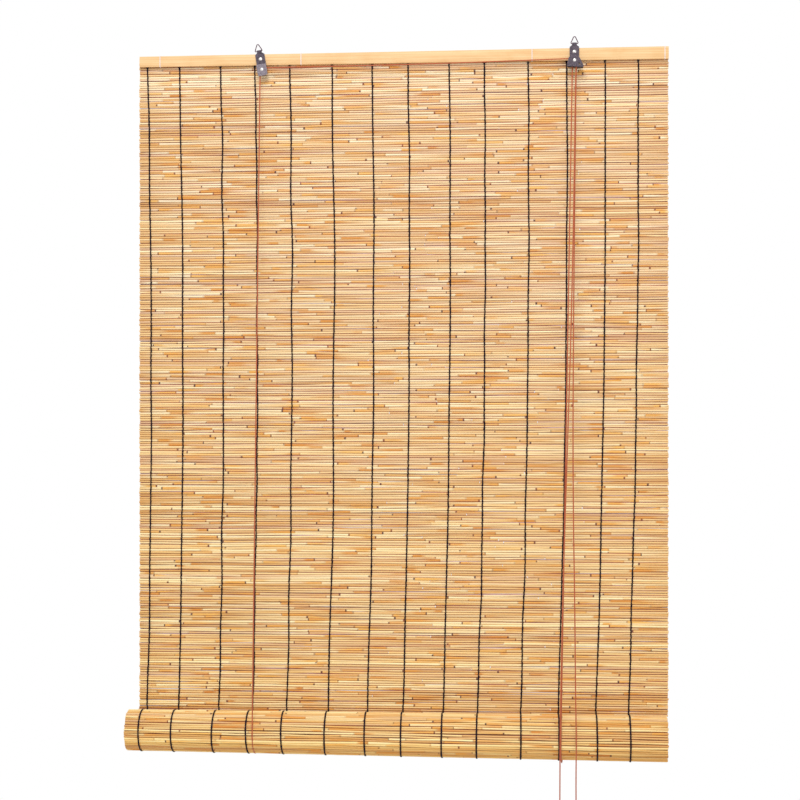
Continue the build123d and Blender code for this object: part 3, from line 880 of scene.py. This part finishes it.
def cord_line(name, route):
    """Points along the route's smooth spline."""
    curve = bpy.data.curves.new(name, "CURVE")
    curve.dimensions = "3D"
    spline = curve.splines.new("NURBS")
    spline.points.add(len(route) - 1)
    for point, (x, y, z) in zip(spline.points, route):
        point.co = (x * MM, y * MM, z * MM, 1)
    spline.order_u = 3
    spline.use_endpoint_u = True
    spline.resolution_u = 40
    carrier = bpy.data.objects.new(name, curve)
    bpy.context.scene.collection.objects.link(carrier)
    line = bpy.data.meshes.new_from_object(carrier)
    points = [vertex.co.copy() for vertex in line.vertices]
    bpy.data.objects.remove(carrier)
    return points


def cut_line(points, heights):
    """Cuts the line where it passes each height in turn, and gives its sections."""
    sections, section = [], [points[0]]
    wanted = list(heights)
    for before, after in zip(points, points[1:]):
        rise = after.z - before.z
        if wanted and (before.z - wanted[0]) * (after.z - wanted[0]) <= 0 and abs(rise) > 1e-9:
            share = (wanted.pop(0) - before.z) / rise
            crossing = before.lerp(after, share)
            section.append(crossing)
            sections.append(section)
            section = [crossing]
        section.append(after)
    sections.append(section)
    return sections


def cord_piece(name, points, start_along):
    """Round cord that follows points, with each corner's place along and round it."""
    mesh_points, faces, braid = [], [], []
    along = start_along
    side_way = Vector((1, 0, 0))
    rate = 2 * math.pi / BRAID_LENGTH
    turns = [2 * math.pi * side / CORD_SIDES for side in range(CORD_SIDES + 1)]
    for number, point in enumerate(points):
        before = points[max(number - 1, 0)]
        after = points[min(number + 1, len(points) - 1)]
        forward = (after - before).normalized()
        side_way = (side_way - forward * side_way.dot(forward)).normalized()
        up = forward.cross(side_way)
        for turn in turns[:-1]:
            mesh_points.append(point + (side_way * math.cos(turn) + up * math.sin(turn)) * CORD_RADIUS)
        if number == 0:
            continue
        step = (point - before).length
        low, high = along * rate, (along + step) * rate
        along += step
        first = (number - 1) * CORD_SIDES
        above = first + CORD_SIDES
        for side in range(CORD_SIDES):
            after_side = (side + 1) % CORD_SIDES
            faces.append((first + side, first + after_side, above + after_side, above + side))
            left, right = turns[side], turns[side + 1]
            braid += [(low, left, 0), (low, right, 0), (high, right, 0), (high, left, 0)]
    last_rim = (len(points) - 1) * CORD_SIDES
    for rim, order in ((0, range(CORD_SIDES - 1, -1, -1)), (last_rim, range(CORD_SIDES))):
        faces.append(tuple(rim + side for side in order))
        braid += [(0, 0, 0)] * CORD_SIDES
    mesh = bpy.data.meshes.new(name)
    mesh.from_pydata(mesh_points, [], faces)
    mesh.polygons.foreach_set("use_smooth", [True] * len(mesh.polygons))
    attribute = mesh.attributes.new("braid", "FLOAT_VECTOR", "CORNER")
    attribute.data.foreach_set("vector", [part for place in braid for part in place])
    piece = bpy.data.objects.new(name, mesh)
    bpy.context.scene.collection.objects.link(piece)
    return dress(piece, "lift_cord"), along


def lift_cord(side, route):
    """The cord in sections: the bend under the roll rides on it, the tail stays put, the rest hangs from
    the blind."""
    node = f"lift_cord_{side}"
    line = cord_line(node + "_line", route)
    pulley_z = PULLEY_SIDE[side]
    names = ("back_run", "roll_bend", "front_run", "pulley_run", "pull_run", "tail")
    sections = cut_line(line, (CROWN_Z, CROWN_Z, pulley_z, pulley_z, TAIL_TOP))
    along = 0.0
    for name, points in zip(names, sections):
        piece, along = cord_piece(f"{node}_{name}", points, along)
        tail = name == "tail"
        if not tail:
            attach(piece, "roll" if name == "roll_bend" else "blind")
        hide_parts(node)
        if tail:
            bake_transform(piece)
        if name in ("back_run", "front_run", "pull_run"):
            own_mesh(piece)


reed_mat()
reed_roll()
for number, share in enumerate(THREAD_SHARES, start=1):
    warp_thread(number, share)
    roll_thread(number, share)
lift_cord("left", LEFT_CORD_ROUTE)
lift_cord("right", RIGHT_CORD_ROUTE)


# Stage, light and camera

def floor():
    mesh = bpy.data.meshes.new("floor")
    left, right = FLOOR_MIDDLE_X - FLOOR_HALF, FLOOR_MIDDLE_X + FLOOR_HALF
    corners = [(left, -FLOOR_HALF), (right, -FLOOR_HALF), (right, FLOOR_HALF), (left, FLOOR_HALF)]
    mesh.from_pydata([(x, y, FLOOR_Z) for x, y in corners], [], [(0, 1, 2, 3)])
    piece = bpy.data.objects.new("floor", mesh)
    bpy.context.scene.collection.objects.link(piece)
    shader = Shader("floor")
    tone = shader.noise((3, 3, 3))
    shader.color(shader.ramp(tone, (0.3, (0.86, 0.86, 0.86)), (0.7, (0.9, 0.9, 0.9))))
    shader.set(roughness=0.9)
    mesh.materials.append(shader.material)


def studio():
    """White where the camera, a gloss or a glass looks, and a plain soft light for everything else."""
    world = bpy.data.worlds.new("studio")
    bpy.context.scene.world = world
    world.use_nodes = True
    tree = world.node_tree
    soft = tree.nodes["Background"]
    soft.inputs["Color"].default_value = (1, 1, 1, 1)
    soft.inputs["Strength"].default_value = SOFT_LIGHT
    white = tree.nodes.new("ShaderNodeBackground")
    white.inputs["Color"].default_value = (1, 1, 1, 1)
    rays = tree.nodes.new("ShaderNodeLightPath")
    seen = rays.outputs["Is Camera Ray"]
    for name in ("Is Glossy Ray", "Is Transmission Ray"):
        larger = tree.nodes.new("ShaderNodeMath")
        larger.operation = "MAXIMUM"
        tree.links.new(seen, larger.inputs[0])
        tree.links.new(rays.outputs[name], larger.inputs[1])
        seen = larger.outputs["Value"]
    mix = tree.nodes.new("ShaderNodeMixShader")
    tree.links.new(seen, mix.inputs["Fac"])
    tree.links.new(soft.outputs["Background"], mix.inputs[1])
    tree.links.new(white.outputs["Background"], mix.inputs[2])
    tree.links.new(mix.outputs["Shader"], tree.nodes["World Output"].inputs["Surface"])


def area_light(name, place, aim, size, power):
    light = bpy.data.lights.new(name, "AREA")
    light.shape = "DISK"
    light.size = size
    light.energy = power
    lamp = bpy.data.objects.new(name, light)
    lamp.location = place
    lamp.rotation_euler = (Vector(aim) - Vector(place)).to_track_quat("-Z", "Y").to_euler()
    bpy.context.scene.collection.objects.link(lamp)


def camera():
    data = bpy.data.cameras.new("camera")
    data.lens = CAMERA_LENS
    data.sensor_width = CAMERA_SENSOR
    data.shift_y = CAMERA_SHIFT
    eye = bpy.data.objects.new("camera", data)
    eye.location = CAMERA_PLACE
    eye.rotation_euler = (math.radians(90), 0, math.radians(CAMERA_TURN))
    bpy.context.scene.collection.objects.link(eye)
    bpy.context.scene.camera = eye


floor()
studio()
area_light("key", (0.0, -2.2, 1.9), (0.2, 0, -0.5), 1.4, 62)
area_light("fill", (1.8, -2.6, -0.4), (0.2, 0, -0.6), 1.6, 14)
camera()
bpy.context.scene.view_settings.view_transform = "Standard"
